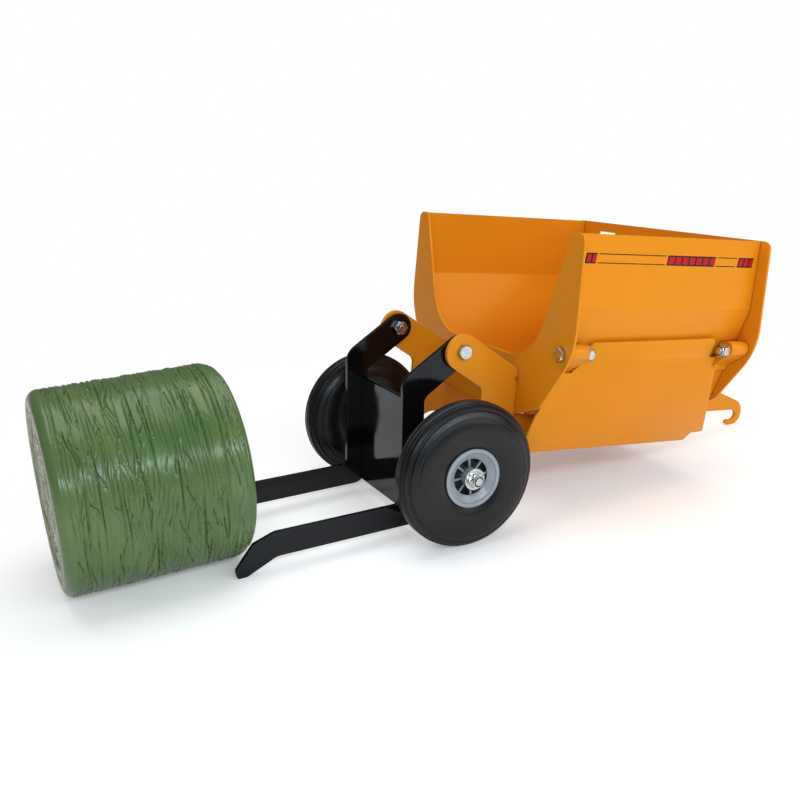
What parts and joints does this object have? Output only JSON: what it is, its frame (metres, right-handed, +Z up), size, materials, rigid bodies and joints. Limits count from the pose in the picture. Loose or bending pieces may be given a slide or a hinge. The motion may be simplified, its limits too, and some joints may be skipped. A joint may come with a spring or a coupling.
{
  "type": "toy bale processor",
  "caption": "Towed toy bale processor: open sheet-metal hopper on two wheels, lift fork, hinged side deflector, hitch hook and a loose moulded bale.",
  "frame": {"origin": "middle of the whole footprint, bale included, on the ground", "axes": "+X towards the hitch hook, +Y to the machine's left, +Z up"},
  "size_m": [1.0414, 0.396, 0.3608],
  "materials": {
    "orange_paint": "gloss powder coat",
    "black_paint": "gloss powder coat",
    "zinc_plate": "bright zinc plated",
    "lock_ring": "nylon",
    "rubber": "satin black rubber",
    "hub_grey": "moulded plastic",
    "bale_green": "moulded plastic with a wrinkled net pattern",
    "stripe": "red and black vinyl"
  },
  "bodies": {
    "chassis": {"tub_shell": "orange_paint", "fork_end_plate": "orange_paint", "hitch_end_plate": "orange_paint", "deflector_lug_fork_end": "orange_paint", "deflector_lug_hitch_end": "orange_paint", "decal_left": "stripe", "decal_right": "stripe", "rail_left": "orange_paint", "rail_right": "orange_paint", "crossmember_middle": "orange_paint", "crossmember_hitch_end": "orange_paint", "drawbar": "orange_paint", "pivot_bolts": "zinc_plate", "pivot_spacers": "zinc_plate", "pivot_nuts": "zinc_plate", "pivot_nut_rings": "lock_ring", "wheel_bolts": "zinc_plate", "wheel_washers": "zinc_plate", "wheel_spacers": "zinc_plate", "wheel_nuts": "zinc_plate", "wheel_nut_rings": "lock_ring", "deflector_bolts": "zinc_plate", "deflector_nuts": "zinc_plate", "deflector_nut_rings": "lock_ring"},
    "wheel_left": {"tyre_left": "rubber", "hub_left": "hub_grey"},
    "wheel_right": {"tyre_right": "rubber", "hub_right": "hub_grey"},
    "lift_fork": {"fork_arm_left": "black_paint", "fork_arm_right": "black_paint", "fork_cross_plate": "black_paint"},
    "deflector": {"deflector_flap": "orange_paint"},
    "bale": {"bale": "bale_green"}
  },
  "joints": [
    {"name": "wheel_left_spin", "type": "hinge", "parent": "chassis", "child": "wheel_left", "pos_m": [-0.06923, 0.142, 0.089], "axis": [0, 1, 0], "continuous": true},
    {"name": "wheel_right_spin", "type": "hinge", "parent": "chassis", "child": "wheel_right", "pos_m": [-0.06923, -0.142, 0.089], "axis": [0, 1, 0], "continuous": true},
    {"name": "fork_lift", "type": "hinge", "parent": "chassis", "child": "lift_fork", "pos_m": [-0.03689, 0, 0.22193], "axis": [0, 1, 0], "range_deg": [0, 120]},
    {"name": "deflector_swing", "type": "hinge", "parent": "chassis", "child": "deflector", "pos_m": [0.18991, -0.1758, 0.20201], "axis": [-0.9907, 0, 0.1364], "range_deg": [0, 22]},
    {"name": "bale_roll_off", "type": "slide", "parent": "lift_fork", "child": "bale", "axis": [-1, 0, 0], "range_m": [0, 0.15]}
  ]
}
